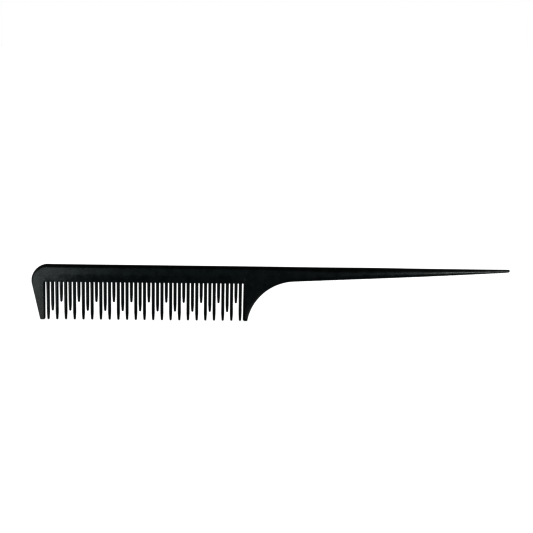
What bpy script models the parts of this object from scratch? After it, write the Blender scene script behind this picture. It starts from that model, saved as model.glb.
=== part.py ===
"""Rat tail comb: one moulding with a flat spine, a field of teeth in three lengths between two
end guards, and a long tapering tail. Metres, +X towards the tail, +Z up, teeth pointing down.
The origin is the centre of the comb's bounding box, and the comb is the same on both faces."""

import math

import bmesh
import bpy
from mathutils import Vector, geometry

MM = 0.001

# Whole comb. Drafting positions count x from the head's end and z up from the slots' tops.
LENGTH = 216 * MM
SPINE_HEIGHT = 7.69 * MM  # top edge above the slots, at the head
SPINE_SLOPE = 0.0017  # fall of the top edge per unit length
THICKNESS = 3.8 * MM  # the flat spine band, thickest part of the comb

# Head
CORNER_RADIUS = 7.1 * MM
HEAD_SLANT = math.radians(12)  # lean of the head's end from the vertical
GUARD_CORNER_RADIUS = 0.5 * MM
GUARD_LEAN = 0.1 * MM  # of both guards' inner edges, towards the head, over their length
GUARD_SHORTFALL = 0.15 * MM  # of both guards against the longest teeth
GUARD_TIP_THICKNESS = 2.8 * MM

# Teeth
TOOTH_COUNT = 45
TOOTH_PITCH = 1.9664 * MM
FIRST_TOOTH = 7.16 * MM
TOOTH_LENGTHS = (17.35 * MM, 13.35 * MM, 17.35 * MM, 9.25 * MM)  # repeating from the head's end
TOOTH_WIDTH = 1.26 * MM
TOOTH_WIDTH_AT_TAPER = 1.18 * MM
TAPER_LENGTH = 3.2 * MM
TIP_RADIUS = 0.40 * MM
HEAD_GAP = 0.77 * MM  # between the front guard and the first tooth
REAR_GAP = 0.86 * MM  # between the last tooth and the rear guard
SLOT_CORNER_RADIUS = 0.31 * MM  # nearly half a slot's width, so the slots end in arches
LAST_TOOTH = FIRST_TOOTH + (TOOTH_COUNT - 1) * TOOTH_PITCH
FIELD_START = FIRST_TOOTH - TOOTH_WIDTH / 2 - HEAD_GAP
FIELD_END = LAST_TOOTH + TOOTH_WIDTH / 2 + REAR_GAP
LONGEST_TOOTH = max(TOOTH_LENGTHS)
GUARD_FOOT = GUARD_CORNER_RADIUS + GUARD_SHORTFALL - LONGEST_TOOTH  # level of its corners' centres

# The band above the slots thins towards the teeth, and the teeth thin towards their tips. At each
# end of the toothed field a short ramp on the guard rises to the full plate. Above the first slots
# the bevel fades in gently from the head plate.
BEVEL_TOP = 3.6 * MM
ROOT_THICKNESS = 2.5 * MM
TOOTH_TIP_THICKNESS = 1.4 * MM
HEAD_RAMP = 0.32 * MM
REAR_RAMP = 0.55 * MM
BEVEL_FADE = 4.5 * MM
FADE_DEPTH = 1.5 * MM  # how far the fade reaches down the first teeth

# Web and tail
WEB_RADIUS = 22.07 * MM
WEB_CENTRE = (118.68 * MM, -20.9 * MM)
TAIL_START_SLOPE = 0.039  # rise of the tail's underside where it leaves the web
TAIL_CROWN = 0.12 * MM  # gentle rise of the top edge along the middle of the tail
CROWN_STARTS = 118 * MM
CROWN_ENDS = 184 * MM
TAIL_END_HEIGHT = 1.16 * MM
TAIL_END_THICKNESS = 1.12 * MM
ROUNDING_STARTS = 100 * MM
ROUNDING_ENDS = 150 * MM

# Rounded edges: how far in from the outline the rounding reaches, and the share of the half
# thickness that it takes
SPINE_EDGE = (1.05 * MM, 0.55)
END_EDGE = (0.9 * MM, 0.38)
GUARD_OUTER_EDGE = (0.28 * MM, 0.22)
GUARD_INNER_EDGE = (0.32 * MM, 0.4)
TOOTH_EDGE = (0.33 * MM, 0.6)
TAIL_REACH_SHARE = 0.9  # of the tail's half height
TAIL_DROP_SHARE = 0.9
SHOULDER_ANGLES = (0, math.radians(45), math.radians(90))

# Points along the outline
SLOT_STEPS = 2  # in each corner of a slot
TIP_STEPS = 4  # in each tooth's tip
CORNER_STEPS = 3  # in each corner of a guard
HEAD_STEPS = 12
WEB_STEPS = 14
TAIL_STEPS = 12
TIP_END_STEPS = 8
TOP_STEPS = 24
FADE_COLUMNS = 4  # across the bevel's fade
ORIGIN = (LENGTH / 2, (SPINE_HEIGHT - LONGEST_TOOTH) / 2)


def mix(a, b, share):
    return a + (b - a) * share


def smooth_share(value, low, high):
    """0 below low, 1 above high, and a smooth step between."""
    t = min(max((value - low) / (high - low), 0), 1)
    return t * t * (3 - 2 * t)


def top_edge(x):
    along = min(max((x - CROWN_STARTS) / (CROWN_ENDS - CROWN_STARTS), 0), 1)
    crown = TAIL_CROWN * math.sin(math.pi * along) ** 2
    return SPINE_HEIGHT - SPINE_SLOPE * (x - CORNER_RADIUS) + crown


def tail_underside(x):
    """The web's arc, then a gentle curve that leaves it without a corner."""
    angle = math.pi / 2 + math.atan(TAIL_START_SLOPE)
    start_x = WEB_CENTRE[0] + WEB_RADIUS * math.cos(angle)
    start_z = WEB_CENTRE[1] + WEB_RADIUS * math.sin(angle)
    if x < start_x:
        return WEB_CENTRE[1] + math.sqrt(WEB_RADIUS**2 - (x - WEB_CENTRE[0]) ** 2)
    run = LENGTH - start_x
    rise = top_edge(LENGTH) - TAIL_END_HEIGHT - start_z
    bow = (rise - TAIL_START_SLOPE * run) / run**2
    return start_z + TAIL_START_SLOPE * (x - start_x) + bow * (x - start_x) ** 2


def half_thickness(x, z):
    """Distance from the middle plane to the flat of either face."""
    plate = THICKNESS / 2
    tail_start = FIELD_END + WEB_RADIUS
    if x > tail_start:
        return mix(plate, TAIL_END_THICKNESS / 2, (x - tail_start) / (LENGTH - tail_start))
    if z < 0:
        plate = mix(plate, GUARD_TIP_THICKNESS / 2, -z / LONGEST_TOOTH)
        thinned = mix(ROOT_THICKNESS, TOOTH_TIP_THICKNESS, -z / LONGEST_TOOTH) / 2
    else:
        thinned = mix(ROOT_THICKNESS, THICKNESS, min(z / BEVEL_TOP, 1)) / 2
    fade = BEVEL_FADE * smooth_share(z, -FADE_DEPTH, 0)
    share = smooth_share(x, FIELD_START - HEAD_RAMP, FIELD_START + fade)
    share *= smooth_share(FIELD_END - x, -REAR_RAMP, 0)
    return mix(plate, thinned, share)


def tail_edge(x, head_edge):
    """An edge of the head that grows along x into the oval section of the tail."""
    share = smooth_share(x, ROUNDING_STARTS, ROUNDING_ENDS)
    if share == 0:
        return head_edge
    reach = TAIL_REACH_SHARE * (top_edge(x) - tail_underside(x)) / 2
    return mix(head_edge[0], reach, share), mix(head_edge[1], TAIL_DROP_SHARE, share)


def arc(centre, radius, start, end, steps, edge=None):
    """Outline points on an arc, from one angle in degrees to another."""
    points = []
    for i in range(steps + 1):
        angle = math.radians(mix(start, end, i / steps))
        x = centre[0] + radius * math.cos(angle)
        z = centre[1] + radius * math.sin(angle)
        points.append((x, z, *(edge or tail_edge(x, END_EDGE))))
    return points


def slot_top(left, right):
    """The top of a slot: two quarter circles with a short flat between them."""
    radius = SLOT_CORNER_RADIUS
    points = arc((left + radius, -radius), radius, 180, 90, SLOT_STEPS, TOOTH_EDGE)
    points += arc((right - radius, -radius), radius, 90, 0, SLOT_STEPS, TOOTH_EDGE)
    return points


def tooth(x, length):
    """One tooth, from its left flank round its tip to its right flank."""
    half = TOOTH_WIDTH_AT_TAPER / 2
    taper = TAPER_LENGTH - length
    points = [(x - half, taper, *TOOTH_EDGE)]
    points += arc((x, TIP_RADIUS - length), TIP_RADIUS, 180, 360, TIP_STEPS, TOOTH_EDGE)
    points.append((x + half, taper, *TOOTH_EDGE))
    return points


def head_end():
    """The round top corner and the slanted end, down and round the tip of the first guard."""
    slant = math.degrees(HEAD_SLANT)
    centre = (CORNER_RADIUS, SPINE_HEIGHT - CORNER_RADIUS)
    points = arc(centre, CORNER_RADIUS, 90, 180 + slant, HEAD_STEPS, END_EDGE)
    start_x, start_z = points[-1][:2]
    foot_x = start_x + (start_z - GUARD_FOOT) * math.tan(HEAD_SLANT)
    foot_x += GUARD_CORNER_RADIUS / math.cos(HEAD_SLANT)
    points += guard_corner(foot_x, 180 + slant, 270, GUARD_OUTER_EDGE)
    inner_x = FIELD_START - GUARD_LEAN - GUARD_CORNER_RADIUS
    points += guard_corner(inner_x, 270, 360, GUARD_INNER_EDGE)
    return points


def guard_corner(x, start, end, edge):
    return arc((x, GUARD_FOOT), GUARD_CORNER_RADIUS, start, end, CORNER_STEPS, edge)


def toothed_edge():
    """All slots and teeth, between the inner edges of the two guards."""
    half = TOOTH_WIDTH / 2
    points = slot_top(FIELD_START, FIRST_TOOTH - half)
    for i in range(TOOTH_COUNT):
        x = FIRST_TOOTH + i * TOOTH_PITCH
        points += tooth(x, TOOTH_LENGTHS[i % len(TOOTH_LENGTHS)])
        slot_end = FIELD_END if i == TOOTH_COUNT - 1 else x + TOOTH_PITCH - half
        points += slot_top(x + half, slot_end)
    points[0] = (*points[0][:2], *GUARD_INNER_EDGE)
    points[-1] = (*points[-1][:2], *GUARD_INNER_EDGE)
    return points


def rear_guard_and_tail():
    """Down the rear guard, up the web's arc, out along the tail and back to the head."""
    inner_x = FIELD_END - GUARD_LEAN + GUARD_CORNER_RADIUS
    points = guard_corner(inner_x, 180, 270, GUARD_INNER_EDGE)
    # The outer corner touches the web's arc from inside the guard.
    reach = WEB_RADIUS + GUARD_CORNER_RADIUS
    above_centre = GUARD_FOOT - WEB_CENTRE[1]
    corner_x = WEB_CENTRE[0] - math.sqrt(reach**2 - above_centre**2)
    lean = math.degrees(math.atan2(above_centre, WEB_CENTRE[0] - corner_x))
    points += guard_corner(corner_x, 270, 360 - lean, GUARD_OUTER_EDGE)
    leave = 90 + math.degrees(math.atan(TAIL_START_SLOPE))
    points += arc(WEB_CENTRE, WEB_RADIUS, 180 - lean, leave, WEB_STEPS)[1:]
    tip_radius = TAIL_END_HEIGHT / 2
    tip_x = LENGTH - tip_radius
    start_x = points[-1][0]
    for i in range(1, TAIL_STEPS):
        x = mix(start_x, tip_x, i / TAIL_STEPS)
        points.append((x, tail_underside(x), *tail_edge(x, END_EDGE)))
    tip_centre = (tip_x, top_edge(tip_x) - tip_radius)
    points += arc(tip_centre, tip_radius, -90, 90, TIP_END_STEPS, tail_edge(tip_x, SPINE_EDGE))
    for i in range(1, TOP_STEPS):
        x = mix(tip_x, CORNER_RADIUS, i / TOP_STEPS)
        points.append((x, top_edge(x), *tail_edge(x, SPINE_EDGE)))
    return points


def inward(points):
    """Mitred unit-width offsets that point into the material."""
    offsets = []
    for i, point in enumerate(points):
        before = points[i - 1]
        after = points[(i + 1) % len(points)]
        arriving = Vector((point[0] - before[0], point[1] - before[1])).normalized()
        leaving = Vector((after[0] - point[0], after[1] - point[1])).normalized()
        along = (arriving + leaving).normalized()
        offsets.append(Vector((-along.y, along.x)) / along.dot(leaving))
    return offsets


def shoulder_rings(points):
    """Rings of (x, z, half thickness) that round the edge from the outline to the flat."""
    rings = []
    offsets = inward(points)
    for angle in SHOULDER_ANGLES:
        ring = []
        for (x, z, reach, drop), offset in zip(points, offsets):
            ring_x = x + offset.x * reach * (1 - math.cos(angle))
            ring_z = z + offset.y * reach * (1 - math.cos(angle))
            height = half_thickness(ring_x, ring_z) * (1 - drop * (1 - math.sin(angle)))
            ring.append((ring_x, ring_z, height))
        rings.append(ring)
    return rings


def crease_points():
    """Points inside the face along the top and the foot of the bevel, and the creases they form."""
    foot = 1.5 * TOOTH_EDGE[0]
    columns = [FIELD_START - HEAD_RAMP]
    columns += [FIELD_START + BEVEL_FADE * i / FADE_COLUMNS for i in range(FADE_COLUMNS + 1)]
    columns += [FIELD_END, FIELD_END + REAR_RAMP]
    points = [(x, z, half_thickness(x, z)) for z in (BEVEL_TOP, foot) for x in columns]
    last = len(columns) - 1
    creases = [(i, i + 1) for i in range(last)]
    creases += [(0, last + 1), (last, 2 * last + 1)]
    return points, creases


def face_triangles(ring, extra, extra_edges):
    """Triangles, as indices into ring + extra, that fill the inside of the last ring."""
    flat = [Vector((x, z)) / MM for x, z, _ in ring + extra]
    edges = [(a + len(ring), b + len(ring)) for a, b in extra_edges]
    loop = list(range(len(ring)))
    found = geometry.delaunay_2d_cdt(flat, edges, [loop], 1, 1e-6, True)
    _, _, faces, vertex_sources, _, face_sources = found
    triangles = []
    for face, sources in zip(faces, face_sources):
        if sources:
            triangles.append([vertex_sources[v][0] for v in face])
    return triangles


def build_comb():
    points = head_end() + toothed_edge() + rear_guard_and_tail()
    rings = shoulder_rings(points)
    extra, extra_edges = crease_points()
    triangles = face_triangles(rings[-1], extra, extra_edges)
    mesh = bmesh.new()
    walls = []
    for side in (-1, 1):
        levels = [
            [mesh.verts.new((x - ORIGIN[0], side * y, z - ORIGIN[1])) for x, z, y in ring]
            for ring in rings
        ]
        inner = [mesh.verts.new((x - ORIGIN[0], side * y, z - ORIGIN[1])) for x, z, y in extra]
        for outer_ring, inner_ring in zip(levels, levels[1:]):
            bridge(mesh, outer_ring, inner_ring, side)
        face_vertices = levels[-1] + inner
        for triangle in triangles:
            corners = [face_vertices[i] for i in triangle]
            mesh.faces.new(corners if side < 0 else reversed(corners))
        walls.append(levels[0])
    bridge(mesh, walls[1], walls[0], -1)
    data = bpy.data.meshes.new("comb")
    mesh.to_mesh(data)
    mesh.free()
    data.shade_smooth()
    data.set_sharp_from_angle(angle=math.radians(30))
    comb = bpy.data.objects.new("comb", data)
    bpy.context.scene.collection.objects.link(comb)
    return comb


def bridge(mesh, outer, inner, side):
    """Quads between two closed rings with the same number of points."""
    count = len(outer)
    for i in range(count):
        j = (i + 1) % count
        corners = (outer[i], outer[j], inner[j], inner[i])
        mesh.faces.new(corners if side < 0 else reversed(corners))


def comb_plastic():
    """Satin black moulded plastic."""
    material = bpy.data.materials.new("comb_plastic")
    material.use_nodes = True
    shader = material.node_tree.nodes["Principled BSDF"]
    shader.inputs["Base Color"].default_value = (0.012, 0.014, 0.015, 1)
    shader.inputs["Roughness"].default_value = 0.38
    shader.inputs["Metallic"].default_value = 0
    return material


def main():
    for old in list(bpy.data.objects):
        bpy.data.objects.remove(old)
    comb = build_comb()
    comb.data.materials.append(comb_plastic())


main()
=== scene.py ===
"""Looks of the rat tail comb: the finished mesh of its one moulding, its satin black plastic, and
a plain white studio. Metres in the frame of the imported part: +X towards the tail, +Z up, with the
teeth down.

The mesh is drafted in x from the head's end and z up from the slots' tops. A closed outline runs
round the comb. Each of its points carries how far the edge rounding reaches in and how much of the
thickness it takes, so one set of shoulder rings makes the oval tail, the rounded teeth and the
flat spine alike."""

import math

import bmesh
import bpy
import numpy as np
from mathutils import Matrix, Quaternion, Vector, geometry


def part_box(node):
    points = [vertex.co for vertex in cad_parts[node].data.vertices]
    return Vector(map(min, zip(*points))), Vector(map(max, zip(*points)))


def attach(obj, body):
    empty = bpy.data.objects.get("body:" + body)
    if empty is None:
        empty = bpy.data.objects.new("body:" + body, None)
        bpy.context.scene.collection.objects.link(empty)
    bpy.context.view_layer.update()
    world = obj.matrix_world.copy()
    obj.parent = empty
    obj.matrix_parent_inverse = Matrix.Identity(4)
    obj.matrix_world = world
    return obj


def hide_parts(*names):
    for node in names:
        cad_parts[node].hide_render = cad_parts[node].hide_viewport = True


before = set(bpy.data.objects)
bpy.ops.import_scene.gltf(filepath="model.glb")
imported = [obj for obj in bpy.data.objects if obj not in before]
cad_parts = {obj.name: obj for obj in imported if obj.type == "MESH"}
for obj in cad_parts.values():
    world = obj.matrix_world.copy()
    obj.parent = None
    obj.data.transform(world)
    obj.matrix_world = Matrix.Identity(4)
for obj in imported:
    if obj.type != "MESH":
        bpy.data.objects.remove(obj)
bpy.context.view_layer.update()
low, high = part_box("comb")

MM = 0.001

# Whole comb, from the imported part
LENGTH = high.x - low.x
THICKNESS = high.y - low.y
LONGEST_TOOTH = 17.35 * MM
SPINE_HEIGHT = high.z - low.z - LONGEST_TOOTH  # top edge above the slots, at the head
SPINE_SLOPE = 0.0017  # fall of the top edge per unit length
SLOT_TOP_LEVEL = low.z + LONGEST_TOOTH

# Head
CORNER_RADIUS = 7.1 * MM
HEAD_SLANT = math.radians(12)  # lean of the head's end from the vertical
GUARD_CORNER_RADIUS = 0.5 * MM
GUARD_SHORTFALL = 0.15 * MM  # of both guards against the longest teeth
GUARD_LEAN = 0.1 * MM  # of both guards' inner edges, towards the head, over their length
GUARD_TIP_THICKNESS = 2.8 * MM
GUARD_FOOT = GUARD_CORNER_RADIUS + GUARD_SHORTFALL - LONGEST_TOOTH  # level of the corners' centres

# Teeth
TOOTH_COUNT = 45
TOOTH_PITCH = 1.9664 * MM
FIRST_TOOTH = 7.16 * MM
TOOTH_LENGTHS = (LONGEST_TOOTH, 13.35 * MM, LONGEST_TOOTH, 9.25 * MM)  # from the head's end
TOOTH_WIDTH = 1.26 * MM
TOOTH_WIDTH_AT_TAPER = 1.18 * MM
TAPER_LENGTH = 3.2 * MM
TIP_RADIUS = 0.40 * MM
TIP_ROUNDING = 1.1 * MM  # length over which a tooth's thickness rounds off to its tip
HEAD_GAP = 0.77 * MM  # between the front guard and the first tooth
REAR_GAP = 0.86 * MM  # between the last tooth and the rear guard
SLOT_CORNER_RADIUS = 0.31 * MM
LAST_TOOTH = FIRST_TOOTH + (TOOTH_COUNT - 1) * TOOTH_PITCH
FIELD_START = FIRST_TOOTH - TOOTH_WIDTH / 2 - HEAD_GAP
FIELD_END = LAST_TOOTH + TOOTH_WIDTH / 2 + REAR_GAP

# The band above the slots thins towards the teeth, and the teeth thin towards their tips. At each
# end of the toothed field a short ramp on the guard rises to the full plate. Above the first slots
# the bevel fades in gently from the head plate.
BEVEL_TOP = 3.6 * MM
BEVEL_SOFTNESS = 0.06  # rounding of the bevel's upper crease, as a share of its height
ROOT_THICKNESS = 2.5 * MM
TOOTH_TIP_THICKNESS = 1.4 * MM
HEAD_RAMP = 0.32 * MM
REAR_RAMP = 0.55 * MM
BEVEL_FADE = 4.5 * MM
FADE_DEPTH = 1.5 * MM  # how far the fade reaches down the first teeth

# Web and tail
WEB_RADIUS = 22.07 * MM
WEB_CENTRE = (118.68 * MM, -20.9 * MM)
TAIL_START_SLOPE = 0.039
TAIL_CROWN = 0.12 * MM  # gentle rise of the top edge along the middle of the tail
CROWN_STARTS = 118 * MM
CROWN_ENDS = 184 * MM
TAIL_END_HEIGHT = 1.16 * MM
TAIL_END_THICKNESS = 1.12 * MM
ROUNDING_STARTS = 100 * MM
ROUNDING_ENDS = 150 * MM

# Rounded edges: how far in the rounding reaches, and the share of the half thickness it takes
SPINE_EDGE = (1.05 * MM, 0.55)
END_EDGE = (0.9 * MM, 0.38)
GUARD_OUTER_EDGE = (0.28 * MM, 0.22)
GUARD_INNER_EDGE = (0.32 * MM, 0.4)
SLOT_EDGE = (0.42 * MM, 0.55)
TOOTH_REACH_SHARE = 0.86  # of a tooth's half width
TOOTH_DROP = 0.55
TAIL_REACH_SHARE = 0.92  # of the tail's half height
TAIL_DROP = 0.92
SHOULDER_STEPS = 6

# The fine seam that the two halves of the mould leave all round the outline
SEAM_HALF_WIDTH = 0.07 * MM
SEAM_HEIGHT = 0.03 * MM
SEAM_SHARE = 0.6  # most of the outer wall that the seam may take

# Points along the outline and over the faces
SLOT_STEPS = 4
FLANK_STEPS = 4
TIP_STEPS = 10
CORNER_STEPS = 6
HEAD_STEPS = 36
WEB_STEPS = 44
TAIL_STEPS = 70
TIP_END_STEPS = 14
TOP_STEPS = 180
FACE_STEP_X = 0.7 * MM
FACE_STEP_Z = 0.5 * MM
FACE_CLEARANCE = 0.28 * MM
RAMP_COLUMNS = 5
FILL_TOLERANCE = 1e-6  # in mm
SHARP_ANGLE = math.radians(50)


def mix(a, b, share):
    return a + (b - a) * share


def smooth_share(value, start, end):
    """0 at start, 1 at end, and a smooth step between."""
    t = min(max((value - start) / (end - start), 0), 1)
    return t * t * (3 - 2 * t)


def top_edge(x):
    along = min(max((x - CROWN_STARTS) / (CROWN_ENDS - CROWN_STARTS), 0), 1)
    crown = TAIL_CROWN * math.sin(math.pi * along) ** 2
    return SPINE_HEIGHT - SPINE_SLOPE * (x - CORNER_RADIUS) + crown


def tail_underside(x):
    """The web's arc, then a gentle curve that leaves it without a corner."""
    angle = math.pi / 2 + math.atan(TAIL_START_SLOPE)
    start_x = WEB_CENTRE[0] + WEB_RADIUS * math.cos(angle)
    start_z = WEB_CENTRE[1] + WEB_RADIUS * math.sin(angle)
    if x < start_x:
        return WEB_CENTRE[1] + math.sqrt(WEB_RADIUS**2 - (x - WEB_CENTRE[0]) ** 2)
    run = LENGTH - start_x
    rise = top_edge(LENGTH) - TAIL_END_HEIGHT - start_z
    bow = (rise - TAIL_START_SLOPE * run) / run**2
    return start_z + TAIL_START_SLOPE * (x - start_x) + bow * (x - start_x) ** 2


def half_thickness(x, z):
    """Distance from the middle plane to the flat of either face."""
    plate = THICKNESS / 2
    tail_start = FIELD_END + WEB_RADIUS
    if x > tail_start:
        return mix(plate, TAIL_END_THICKNESS / 2, (x - tail_start) / (LENGTH - tail_start))
    if z < 0:
        plate = mix(plate, GUARD_TIP_THICKNESS / 2, -z / LONGEST_TOOTH)
        thinned = mix(ROOT_THICKNESS, TOOTH_TIP_THICKNESS, -z / LONGEST_TOOTH) / 2
    else:
        depth = 1 - z / BEVEL_TOP
        depth = (depth + math.sqrt(depth**2 + BEVEL_SOFTNESS**2)) / 2
        thinned = mix(THICKNESS, ROOT_THICKNESS, depth) / 2
    fade = BEVEL_FADE * smooth_share(z, -FADE_DEPTH, 0)
    share = smooth_share(x, FIELD_START - HEAD_RAMP, FIELD_START + fade)
    share *= smooth_share(FIELD_END - x, -REAR_RAMP, 0)
    return mix(plate, thinned, share)


def tail_edge(x, head_edge):
    """An edge of the head that grows along x into the oval section of the tail."""
    share = smooth_share(x, ROUNDING_STARTS, ROUNDING_ENDS)
    if share == 0:
        return head_edge
    reach = TAIL_REACH_SHARE * (top_edge(x) - tail_underside(x)) / 2
    return mix(head_edge[0], reach, share), mix(head_edge[1], TAIL_DROP, share)


def outline_point(x, z, edge, tip_z=-math.inf):
    """A point of the outline: its place, its edge rounding, and the level of its tooth's tip."""
    return (x, z, edge[0], edge[1], tip_z)


def arc(centre, radius, start, end, steps, edge=None):
    """Outline points on an arc, from one angle in degrees to another."""
    points = []
    for i in range(steps + 1):
        angle = math.radians(mix(start, end, i / steps))
        x = centre[0] + radius * math.cos(angle)
        z = centre[1] + radius * math.sin(angle)
        points.append(outline_point(x, z, edge or tail_edge(x, END_EDGE)))
    return points


def slot_top(left, right):
    """The top of a slot: two quarter circles with a short flat between them."""
    radius = SLOT_CORNER_RADIUS
    points = arc((left + radius, -radius), radius, 180, 90, SLOT_STEPS, SLOT_EDGE)
    points += arc((right - radius, -radius), radius, 90, 0, SLOT_STEPS, SLOT_EDGE)
    return points


def tooth_point(x, z, half_width, length):
    return outline_point(x, z, (TOOTH_REACH_SHARE * half_width, TOOTH_DROP), -length)


def fullness(z, tip_z):
    """Share of the thickness left at a level on a tooth, which rounds off towards its tip."""
    from_tip = min(max((z - tip_z) / TIP_ROUNDING, 0), 1)
    return mix(TIP_RADIUS / TOOTH_TIP_THICKNESS, 1, math.sqrt(1 - (1 - from_tip) ** 2))


def tooth(x, length):
    """One tooth, from its left flank round its tip to its right flank."""
    root = SLOT_CORNER_RADIUS
    taper = length - TAPER_LENGTH
    flank = []
    for i in range(1, FLANK_STEPS + 1):
        share = i / FLANK_STEPS
        flank.append((mix(root, taper, share), mix(TOOTH_WIDTH, TOOTH_WIDTH_AT_TAPER, share) / 2))
    for i in range(1, FLANK_STEPS):
        share = i / FLANK_STEPS
        depth = mix(taper, length - TIP_RADIUS, share)
        flank.append((depth, mix(TOOTH_WIDTH_AT_TAPER / 2, TIP_RADIUS, share)))
    points = [tooth_point(x - half, -depth, half, length) for depth, half in flank]
    for i in range(TIP_STEPS + 1):
        angle = math.radians(mix(180, 360, i / TIP_STEPS))
        tip_x = x + TIP_RADIUS * math.cos(angle)
        tip_z = TIP_RADIUS - length + TIP_RADIUS * math.sin(angle)
        points.append(tooth_point(tip_x, tip_z, TIP_RADIUS, length))
    points += [tooth_point(x + half, -depth, half, length) for depth, half in reversed(flank)]
    return points


def guard_corner(x, start, end, edge):
    return arc((x, GUARD_FOOT), GUARD_CORNER_RADIUS, start, end, CORNER_STEPS, edge)


def head_end():
    """The round top corner and the slanted end, down and round the tip of the first guard."""
    slant = math.degrees(HEAD_SLANT)
    centre = (CORNER_RADIUS, SPINE_HEIGHT - CORNER_RADIUS)
    points = arc(centre, CORNER_RADIUS, 90, 180 + slant, HEAD_STEPS, END_EDGE)
    start_x, start_z = points[-1][:2]
    foot_x = start_x + (start_z - GUARD_FOOT) * math.tan(HEAD_SLANT)
    foot_x += GUARD_CORNER_RADIUS / math.cos(HEAD_SLANT)
    points += guard_corner(foot_x, 180 + slant, 270, GUARD_OUTER_EDGE)
    inner_x = FIELD_START - GUARD_LEAN - GUARD_CORNER_RADIUS
    points += guard_corner(inner_x, 270, 360, GUARD_INNER_EDGE)
    return points


def toothed_edge():
    """All slots and teeth, between the inner edges of the two guards."""
    half = TOOTH_WIDTH / 2
    points = slot_top(FIELD_START, FIRST_TOOTH - half)
    for i in range(TOOTH_COUNT):
        x = FIRST_TOOTH + i * TOOTH_PITCH
        points += tooth(x, TOOTH_LENGTHS[i % len(TOOTH_LENGTHS)])
        slot_end = FIELD_END if i == TOOTH_COUNT - 1 else x + TOOTH_PITCH - half
        points += slot_top(x + half, slot_end)
    return points


def rear_guard_and_tail():
    """Down the rear guard, up the web's arc, out along the tail and back to the head."""
    points = guard_corner(FIELD_END - GUARD_LEAN + GUARD_CORNER_RADIUS, 180, 270, GUARD_INNER_EDGE)
    # The outer corner touches the web's arc from inside the guard.
    reach = WEB_RADIUS + GUARD_CORNER_RADIUS
    corner_x = WEB_CENTRE[0] - math.sqrt(reach**2 - (GUARD_FOOT - WEB_CENTRE[1]) ** 2)
    lean = math.degrees(math.atan2(GUARD_FOOT - WEB_CENTRE[1], WEB_CENTRE[0] - corner_x))
    points += guard_corner(corner_x, 270, 360 - lean, GUARD_OUTER_EDGE)
    leave = 90 + math.degrees(math.atan(TAIL_START_SLOPE))
    points += arc(WEB_CENTRE, WEB_RADIUS, 180 - lean, leave, WEB_STEPS)[1:]
    tip_radius = TAIL_END_HEIGHT / 2
    tip_x = LENGTH - tip_radius
    start_x = points[-1][0]
    for i in range(1, TAIL_STEPS):
        x = mix(start_x, tip_x, i / TAIL_STEPS)
        points.append(outline_point(x, tail_underside(x), tail_edge(x, END_EDGE)))
    tip_centre = (tip_x, top_edge(tip_x) - tip_radius)
    points += arc(tip_centre, tip_radius, -90, 90, TIP_END_STEPS, tail_edge(tip_x, SPINE_EDGE))
    for i in range(1, TOP_STEPS):
        x = mix(tip_x, CORNER_RADIUS, i / TOP_STEPS)
        points.append(outline_point(x, top_edge(x), tail_edge(x, SPINE_EDGE)))
    return points


def ease_edges(points):
    """Softens the jumps in edge rounding where one kind of edge meets the next."""
    values = np.array([point[2:4] for point in points])
    values = (np.roll(values, 1, axis=0) + 2 * values + np.roll(values, -1, axis=0)) / 4
    return [(p[0], p[1], v[0], v[1], p[4]) for p, v in zip(points, values)]


def inward(points):
    """Mitred unit-width offsets that point into the material."""
    offsets = []
    for i, point in enumerate(points):
        before = points[i - 1]
        after = points[(i + 1) % len(points)]
        arriving = Vector((point[0] - before[0], point[1] - before[1])).normalized()
        leaving = Vector((after[0] - point[0], after[1] - point[1])).normalized()
        along = (arriving + leaving).normalized()
        offsets.append(Vector((-along.y, along.x)) / along.dot(leaving))
    return offsets


def shoulder_rings(points, offsets):
    """Rings of (x, z, half thickness) that round the edge from the outline to the flat."""
    rings = []
    for step in range(SHOULDER_STEPS + 1):
        angle = math.pi / 2 * step / SHOULDER_STEPS
        ring = []
        for (x, z, reach, drop, tip_z), offset in zip(points, offsets):
            ring_x = x + offset.x * reach * (1 - math.cos(angle))
            ring_z = z + offset.y * reach * (1 - math.cos(angle))
            rise = fullness(ring_z, tip_z) * (1 - drop * (1 - math.sin(angle)))
            ring.append((ring_x, ring_z, half_thickness(ring_x, ring_z) * rise))
        rings.append(ring)
    return rings


def inside_ring(x, z, ring):
    """Which of the points x, z lie inside a closed ring and clear of it."""
    start = np.array([point[:2] for point in ring])
    end = np.roll(start, -1, axis=0)
    along = end - start
    to_x = x[:, None] - start[None, :, 0]
    to_z = z[:, None] - start[None, :, 1]
    crosses = (start[None, :, 1] > z[:, None]) != (end[None, :, 1] > z[:, None])
    rise = np.where(along[:, 1] == 0, 1, along[:, 1])
    crosses &= to_x < along[None, :, 0] * to_z / rise[None, :]
    share = (to_x * along[None, :, 0] + to_z * along[None, :, 1]) / (along**2).sum(axis=1)
    share = np.clip(share, 0, 1)
    gap = np.hypot(to_x - share * along[None, :, 0], to_z - share * along[None, :, 1])
    return (crosses.sum(axis=1) % 2 == 1) & (gap.min(axis=1) > FACE_CLEARANCE)


def face_points(ring):
    """A grid over the flats, with extra columns across the ramps of the two guards."""
    columns = list(np.arange(FACE_STEP_X, LENGTH, FACE_STEP_X))
    for start, run in ((FIELD_START - HEAD_RAMP, HEAD_RAMP), (FIELD_END, REAR_RAMP)):
        columns = [x for x in columns if not start <= x <= start + run]
        columns += [start + run * i / RAMP_COLUMNS for i in range(RAMP_COLUMNS + 1)]
    rows = np.arange(FACE_STEP_Z - LONGEST_TOOTH, SPINE_HEIGHT, FACE_STEP_Z)
    found = []
    for x in sorted(columns):
        column = np.full(len(rows), x)
        kept = rows[inside_ring(column, rows, ring)]
        found += [(x, z, half_thickness(x, z)) for z in kept]
    return found


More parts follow.
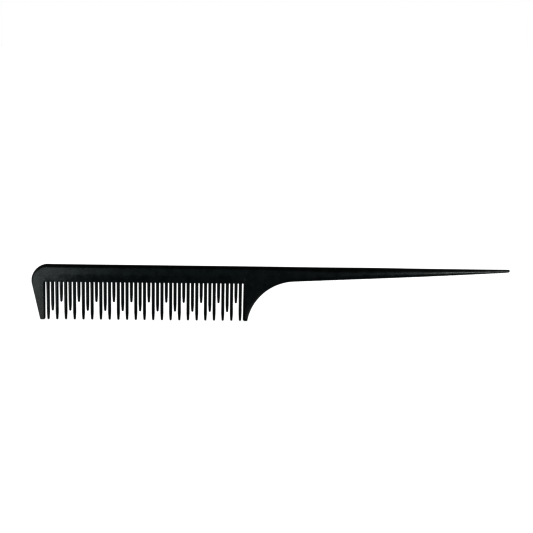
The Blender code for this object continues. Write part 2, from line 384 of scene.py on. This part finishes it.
def face_triangles(ring, extra):
    """Triangles, as indices into ring + extra, that fill the inside of the last ring."""
    flat = [Vector((x, z)) / MM for x, z, _ in ring + extra]
    loop = list(range(len(ring)))
    found = geometry.delaunay_2d_cdt(flat, [], [loop], 1, FILL_TOLERANCE, True)
    _, _, faces, vertex_sources, _, face_sources = found
    triangles = []
    for face, sources in zip(faces, face_sources):
        if sources:
            triangles.append([vertex_sources[v][0] for v in face])
    return triangles


def seam_rings(wall, offsets):
    """The mould seam: its two feet and its crest, as rings of (x, z, distance to one side)."""
    feet = [(x, z, min(SEAM_HALF_WIDTH, SEAM_SHARE * y)) for x, z, y in wall]
    crest = []
    for (x, z, y), offset in zip(feet, offsets):
        height = SEAM_HEIGHT * y / SEAM_HALF_WIDTH
        crest.append((x - offset.x * height, z - offset.y * height, 0))
    return feet, crest


def bridge(mesh, outer, inner, side):
    """Quads between two closed rings with the same number of points."""
    count = len(outer)
    for i in range(count):
        j = (i + 1) % count
        corners = (outer[i], outer[j], inner[j], inner[i])
        mesh.faces.new(corners if side < 0 else reversed(corners))


def add_object(name, data):
    holder = bpy.data.objects.new(name, data)
    bpy.context.scene.collection.objects.link(holder)
    return holder


def build_comb():
    """The whole moulding. Its edge attribute is 1 on the rim and 0 on the flats."""
    points = ease_edges(head_end() + toothed_edge() + rear_guard_and_tail())
    offsets = inward(points)
    rings = shoulder_rings(points, offsets)
    extra = face_points(rings[-1])
    triangles = face_triangles(rings[-1], extra)
    feet, crest = seam_rings(rings[0], offsets)
    mesh = bmesh.new()
    edge_layer = mesh.verts.layers.float.new("edge")

    def place(ring, side, edge):
        placed = []
        for x, z, y in ring:
            vertex = mesh.verts.new((low.x + x, side * y, SLOT_TOP_LEVEL + z))
            vertex[edge_layer] = edge
            placed.append(vertex)
        return placed

    middle = place(crest, 1, 1)
    for side in (-1, 1):
        levels = [middle, place(feet, side, 1)]
        for step, ring in enumerate(rings):
            levels.append(place(ring, side, math.cos(math.pi / 2 * step / SHOULDER_STEPS)))
        for outer_ring, inner_ring in zip(levels, levels[1:]):
            bridge(mesh, outer_ring, inner_ring, side)
        face_vertices = levels[-1] + place(extra, side, 0)
        for triangle in triangles:
            corners = [face_vertices[i] for i in triangle]
            mesh.faces.new(corners if side < 0 else reversed(corners))
    data = bpy.data.meshes.new("comb_moulding")
    mesh.to_mesh(data)
    mesh.free()
    data.shade_smooth()
    data.set_sharp_from_angle(angle=SHARP_ANGLE)
    return add_object("comb_moulding", data)


# Plastic
DEEP_BLACK = (0.0085, 0.0098, 0.0102, 1)
GREY_BLACK = (0.0130, 0.0148, 0.0154, 1)
WORN_BLACK = (0.040, 0.044, 0.045, 1)
ROUGHNESS = 0.40
PLASTIC_IOR = 1.49

# Noises: features per millimetre, alike or per axis, octaves, and the weight of the fine ones
GRAIN = (4.5, 3.0, 0.6)
CLOUD = (0.35, 4.0, 0.55)
FLOW = ((0.02, 0.3, 0.3), 3.0, 0.5)
SCRATCHES = ((0.06, 5.0, 5.0), 1.0, 0.5)
WEAR = (1.4, 3.0, 0.5)

# What the noises do. Limits are values of the noise, over which an effect goes from its first end
# to its second.
SCRATCH_LIMITS = (0.68, 0.76)
WEAR_LIMITS = (0.42, 0.66)
WEAR_ENDS = (0.25, 1)
RIM_LIMITS = (0.3, 0.95)  # of the edge attribute, for wear
CLOUD_LIMITS = (0.35, 0.65)  # for colour and sheen
SHEEN_ENDS = (0.42, 0.58)
ROUGHNESS_LIMITS = (0.3, 0.7)
CLOUD_ROUGHNESS = (-0.045, 0.05)
GRAIN_ROUGHNESS = (-0.03, 0.03)
FLOW_ROUGHNESS = (-0.02, 0.02)
SCRATCH_ROUGHNESS = -0.05
WEAR_ROUGHNESS = -0.06
WEAR_COLOUR_SHARE = 0.3
SCRATCH_DEPTH = -0.35  # against the grain's height
GRAIN_BUMP = {"Strength": 0.6, "Distance": 0.006 * MM}
CLOUD_BUMP = {"Strength": 0.5, "Distance": 0.06 * MM}


class Nodes:
    """A small builder for one node tree."""

    def __init__(self, tree):
        self.tree = tree

    def add(self, kind, settings=None, **inputs):
        """A node of this kind, its settings, and its inputs as values or as sockets to link."""
        node = self.tree.nodes.new(kind)
        for key, value in (settings or {}).items():
            setattr(node, key, value)
        for key, value in inputs.items():
            self.feed(node.inputs[key.replace("_", " ")], value)
        return node

    def feed(self, socket, value):
        if isinstance(value, bpy.types.NodeSocket):
            self.tree.links.new(value, socket)
        else:
            socket.default_value = value

    def noise(self, place, scale, detail, rough):
        """Noise between about 0 and 1."""
        axes = (scale,) * 3 if isinstance(scale, (int, float)) else scale
        mapping = self.add("ShaderNodeMapping", Vector=place, Scale=[s / MM for s in axes])
        node = self.add("ShaderNodeTexNoise", Vector=mapping.outputs[0], Scale=1.0)
        node.inputs["Detail"].default_value = detail
        node.inputs["Roughness"].default_value = rough
        return node.outputs["Fac"]

    def spread(self, value, start, end, to_start, to_end):
        """value mapped from one range to another, smoothly and held at the ends."""
        node = self.add("ShaderNodeMapRange", {"interpolation_type": "SMOOTHSTEP"}, Value=value)
        limits = ("From Min", "From Max", "To Min", "To Max")
        for key, limit in zip(limits, (start, end, to_start, to_end)):
            node.inputs[key].default_value = limit
        return node.outputs[0]

    def math(self, operation, a, b):
        node = self.add("ShaderNodeMath", {"operation": operation})
        self.feed(node.inputs[0], a)
        self.feed(node.inputs[1], b)
        return node.outputs[0]

    def chain(self, operation, first, *others):
        """One operation over several numbers, from the left."""
        for other in others:
            first = self.math(operation, first, other)
        return first

    def mixed(self, share, a, b):
        """A plain number between a and b."""
        node = self.add("ShaderNodeMix")
        for index, value in ((0, share), (2, a), (3, b)):
            self.feed(node.inputs[index], value)
        return node.outputs[0]

    def blend(self, share, a, b):
        """A colour between a and b."""
        node = self.add("ShaderNodeMix", {"data_type": "RGBA"})
        self.feed(node.inputs[0], share)
        self.feed(node.inputs[6], a)
        self.feed(node.inputs[7], b)
        return node.outputs[2]


def empty_nodes(owner):
    """The cleared node tree of a material or world, to build in."""
    owner.use_nodes = True
    owner.node_tree.nodes.clear()
    return Nodes(owner.node_tree)


def comb_plastic():
    """Satin black plastic: spark-eroded mould grain, cloudy sheen, flow lines, handling wear."""
    material = bpy.data.materials.new("comb_plastic")
    nodes = empty_nodes(material)
    place = nodes.add("ShaderNodeTexCoord").outputs["Object"]
    edge = nodes.add("ShaderNodeAttribute", {"attribute_name": "edge"}).outputs["Fac"]
    grain = nodes.noise(place, *GRAIN)
    cloud = nodes.noise(place, *CLOUD)
    flow = nodes.noise(place, *FLOW)
    scratches = nodes.spread(nodes.noise(place, *SCRATCHES), *SCRATCH_LIMITS, 0, 1)
    wear_pattern = nodes.spread(nodes.noise(place, *WEAR), *WEAR_LIMITS, *WEAR_ENDS)
    wear = nodes.math("MULTIPLY", nodes.spread(edge, *RIM_LIMITS, 0, 1), wear_pattern)

    colour = nodes.blend(nodes.spread(cloud, *CLOUD_LIMITS, 0, 1), DEEP_BLACK, GREY_BLACK)
    colour = nodes.blend(nodes.math("MULTIPLY", wear, WEAR_COLOUR_SHARE), colour, WORN_BLACK)

    roughness = nodes.chain(
        "ADD",
        nodes.spread(cloud, *ROUGHNESS_LIMITS, *CLOUD_ROUGHNESS),
        ROUGHNESS,
        nodes.spread(grain, *ROUGHNESS_LIMITS, *GRAIN_ROUGHNESS),
        nodes.spread(flow, *ROUGHNESS_LIMITS, *FLOW_ROUGHNESS),
        nodes.math("MULTIPLY", scratches, SCRATCH_ROUGHNESS),
        nodes.math("MULTIPLY", wear, WEAR_ROUGHNESS),
    )
    sheen = nodes.spread(cloud, *CLOUD_LIMITS, *SHEEN_ENDS)

    relief = nodes.math("ADD", grain, nodes.math("MULTIPLY", scratches, SCRATCH_DEPTH))
    waves = nodes.add("ShaderNodeBump", Height=cloud, **CLOUD_BUMP)
    bump = nodes.add("ShaderNodeBump", Height=relief, Normal=waves.outputs[0], **GRAIN_BUMP)
    shader = nodes.add("ShaderNodeBsdfPrincipled", Base_Color=colour, Roughness=roughness)
    nodes.feed(shader.inputs["Normal"], bump.outputs[0])
    nodes.feed(shader.inputs["Specular IOR Level"], sheen)
    nodes.feed(shader.inputs["IOR"], PLASTIC_IOR)
    nodes.add("ShaderNodeOutputMaterial", Surface=shader.outputs[0])
    return material


# Studio
FLOOR_HALF_SIZE = 30.0
FLOOR_GLOW = 0.9  # white that the camera sees before the overhead light adds the rest
FLOOR_ALBEDO = 0.8
OVERHEAD = math.pi * (1 - FLOOR_GLOW) / FLOOR_ALBEDO
OVERHEAD_SPREAD = math.radians(70)
OVERHEAD_TILT = (math.radians(-12), math.radians(-10), 0)
SURROUND_TONE = 0.12
CARD_WHITE = (1.0, 0.99, 0.95)

# What the plastic mirrors of the floor, which to these rays gives off a painted glow of its own:
# from near to far in front of the comb, less on the tail's side, and behind the comb
NEAR_FLOOR = 22 * MM
NEAR_FLOOR_TONE = 0.6
FAR_FLOOR = 110 * MM
FAR_FLOOR_TONE = 2.3
TAIL_SIDE = (-22 * MM, 2 * MM)
TAIL_SIDE_SHARE = 0.7
BACK_FLOOR_TONE = 0.25
COOL_TONE = (0.70, 1.0, 1.08, 1)  # the colour of these tones

# A glow of the floor near the comb, which shows only to rays that leave at a slant
FRONT_GLOW = 3.0
BACK_GLOW = 6.5
GLOW_COLOUR = (0.88, 1.0, 1.0, 1)
GLOW_SLANT = (0.48, 0.64)  # sideways share of the direction, over which it sets in
GLOW_STEEP = (0.34, 0.42)  # upward share of the direction, for the front one
FRONT_GLOW_FAR = (-65 * MM, -45 * MM)
FRONT_GLOW_NEAR = (-9 * MM, -4 * MM)
BACK_GLOW_NEAR = (12 * MM, 30 * MM)
BACK_GLOW_FAR = (90 * MM, 130 * MM)
BACK_GLOW_LEFT = (-100 * MM, -80 * MM)

# Cards: name, centre, target, width, height, all in mm, and radiance
FLOOR_Z = low.z / MM
CARD_Z = FLOOR_Z + 1  # of the cards that lie on the floor and face up
LOW_CARD_Z = FLOOR_Z + 0.1  # of the one that shows in the foot of the front guard
CARDS = (
    ("head_floor_card", (-142, -128, CARD_Z), (-142, -128, 0), 100, 104, 12.4),
    ("guard_floor_card", (-131, -41, LOW_CARD_Z), (-131, -41, 0), 59, 78, 5.5),
    ("head_edge_card", (-181, -60, 42), (-108, 0, 8), 40, 40, 4.0),
    ("tail_floor_card", (176, -150, CARD_Z), (176, -150, 0), 174, 200, 22.0),
    ("rear_floor_card", (-4.5, -13, CARD_Z), (-4.5, -13, 0), 15, 23, 2.5),
    ("left_high", (-320, 0, 380), (0, 0, 0), 250, 250, 3.0),
    ("right_high", (340, -50, 360), (0, 0, 0), 250, 250, 3.0),
    ("back_tail_card", (105, 36, CARD_Z), (105, 36, 0), 220, 34, 5.0),
)


def floor_material():
    """White to the camera. To all other rays it gives off a painted glow of its own, set by place
    and by slant, and that glow is what the plastic mirrors: darker near the comb and behind it, as
    under flags in a studio, and brighter further out in front.
    """
    material = bpy.data.materials.new("white_floor")
    nodes = empty_nodes(material)
    rays = nodes.add("ShaderNodeLightPath")
    glow = nodes.add("ShaderNodeEmission", Color=(1, 1, 1, 1), Strength=FLOOR_GLOW)
    lit = nodes.add("ShaderNodeBsdfDiffuse", Color=(FLOOR_ALBEDO,) * 3 + (1,))
    seen = nodes.add("ShaderNodeAddShader")
    nodes.feed(seen.inputs[0], glow.outputs[0])
    nodes.feed(seen.inputs[1], lit.outputs[0])
    surface = nodes.add("ShaderNodeNewGeometry")
    place = nodes.add("ShaderNodeSeparateXYZ", Vector=surface.outputs["Position"])
    along, depth = place.outputs["X"], place.outputs["Y"]
    towards = nodes.add("ShaderNodeSeparateXYZ", Vector=surface.outputs["Incoming"])
    behind = nodes.spread(depth, low.y, high.y, 0, 1)
    front_tone = nodes.chain(
        "MULTIPLY",
        nodes.spread(depth, -FAR_FLOOR, -NEAR_FLOOR, FAR_FLOOR_TONE, NEAR_FLOOR_TONE),
        nodes.spread(along, *TAIL_SIDE, 1, TAIL_SIDE_SHARE),
    )
    tone = nodes.mixed(behind, front_tone, BACK_FLOOR_TONE)
    # A glow shows only at a slant, as through louvres. It lights both faces for a view from the
    # side, and the camera sees none of it in the teeth's flanks.
    front_glow = nodes.chain(
        "MULTIPLY",
        nodes.spread(towards.outputs["Z"], *GLOW_STEEP, 0, 1),
        nodes.spread(depth, *FRONT_GLOW_FAR, 0, 1),
        nodes.spread(depth, *FRONT_GLOW_NEAR, 1, 0),
    )
    back_glow = nodes.chain(
        "MULTIPLY",
        nodes.spread(depth, *BACK_GLOW_NEAR, 0, 1),
        nodes.spread(depth, *BACK_GLOW_FAR, 1, 0),
        nodes.spread(along, *BACK_GLOW_LEFT, 0, 1),
    )
    glow_share = nodes.chain(
        "MULTIPLY",
        nodes.mixed(behind, front_glow, back_glow),
        nodes.spread(nodes.math("ABSOLUTE", towards.outputs["X"], 0), *GLOW_SLANT, 0, 1),
        rays.outputs["Is Glossy Ray"],
    )
    tone = nodes.mixed(glow_share, tone, nodes.mixed(behind, FRONT_GLOW, BACK_GLOW))
    colour = nodes.blend(glow_share, COOL_TONE, GLOW_COLOUR)
    mirrored = nodes.add("ShaderNodeEmission", Color=colour, Strength=tone)
    both = nodes.add("ShaderNodeMixShader", Fac=rays.outputs["Is Camera Ray"])
    nodes.feed(both.inputs[1], mirrored.outputs[0])
    nodes.feed(both.inputs[2], seen.outputs[0])
    nodes.add("ShaderNodeOutputMaterial", Surface=both.outputs[0])
    return material


def make_floor():
    mesh = bmesh.new()
    corners = [(-1, -1), (1, -1), (1, 1), (-1, 1)]
    mesh.faces.new([
        mesh.verts.new((x * FLOOR_HALF_SIZE, y * FLOOR_HALF_SIZE, low.z)) for x, y in corners
    ])
    data = bpy.data.meshes.new("floor")
    mesh.to_mesh(data)
    mesh.free()
    data.materials.append(floor_material())
    return add_object("floor", data)


def make_world():
    """White to the camera, dim to everything else."""
    world = bpy.data.worlds.new("studio")
    nodes = empty_nodes(world)
    camera_ray = nodes.add("ShaderNodeLightPath").outputs["Is Camera Ray"]
    tone = nodes.spread(camera_ray, 0, 1, SURROUND_TONE, 1)
    background = nodes.add("ShaderNodeBackground", Color=(1, 1, 1, 1), Strength=tone)
    nodes.add("ShaderNodeOutputWorld", Surface=background.outputs[0])
    bpy.context.scene.world = world


def softbox(name, centre, target, width, height, radiance):
    """A rectangular light, in mm, that faces a target and shines with an even radiance."""
    light = bpy.data.lights.new(name, "AREA")
    light.shape = "RECTANGLE"
    light.size = width * MM
    light.size_y = height * MM
    light.energy = radiance * math.pi * (width * MM) * (height * MM)
    light.color = CARD_WHITE
    holder = add_object(name, light)
    holder.location = Vector(centre) * MM
    aim = Vector(target) - Vector(centre)
    holder.rotation_mode = "QUATERNION"
    holder.rotation_quaternion = aim.to_track_quat("-Z", "Y")
    holder.visible_camera = False
    return holder


def receivers(name, receiver):
    """A collection that limits a light to one receiver."""
    collection = bpy.data.collections.new(name)
    collection.objects.link(receiver)
    return collection


def make_lights(comb, floor_plane):
    """Cards that only the plastic mirrors, and a soft overhead light for the floor."""
    only_the_comb = receivers("comb_only", comb)
    for card in CARDS:
        softbox(*card).light_linking.receiver_collection = only_the_comb
    overhead = bpy.data.lights.new("overhead", "SUN")
    overhead.energy = OVERHEAD
    overhead.angle = OVERHEAD_SPREAD
    holder = add_object("overhead", overhead)
    holder.rotation_euler = OVERHEAD_TILT
    holder.light_linking.receiver_collection = receivers("floor_only", floor_plane)


# Camera
CAMERA_AZIMUTH = math.radians(-2.0)
CAMERA_ELEVATION = math.radians(10)
CAMERA_ROLL = math.radians(0.95)
CAMERA_DISTANCE = 0.5614
CAMERA_LENS = 84.0
CAMERA_SENSOR = 36.0
AIM = Vector((-2.64 * MM, 0, 12.61 * MM))
DISPLAY_GAMMA = 0.45  # makes pixel values nearly linear in light


def make_camera():
    camera = bpy.data.cameras.new("camera")
    camera.lens = CAMERA_LENS
    camera.sensor_width = CAMERA_SENSOR
    holder = add_object("camera", camera)
    level = math.cos(CAMERA_ELEVATION)
    back = Vector((
        math.sin(CAMERA_AZIMUTH) * level,
        -math.cos(CAMERA_AZIMUTH) * level,
        math.sin(CAMERA_ELEVATION),
    ))
    holder.location = AIM + back * CAMERA_DISTANCE
    holder.rotation_mode = "QUATERNION"
    facing = (-back).to_track_quat("-Z", "Y")
    holder.rotation_quaternion = facing @ Quaternion((0, 0, 1), CAMERA_ROLL)
    bpy.context.scene.camera = holder


comb = build_comb()
comb.data.materials.append(comb_plastic())
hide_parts("comb")
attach(comb, "root")
floor_plane = make_floor()
make_world()
make_lights(comb, floor_plane)
make_camera()
bpy.context.scene.view_settings.view_transform = "Standard"
bpy.context.scene.view_settings.gamma = DISPLAY_GAMMA
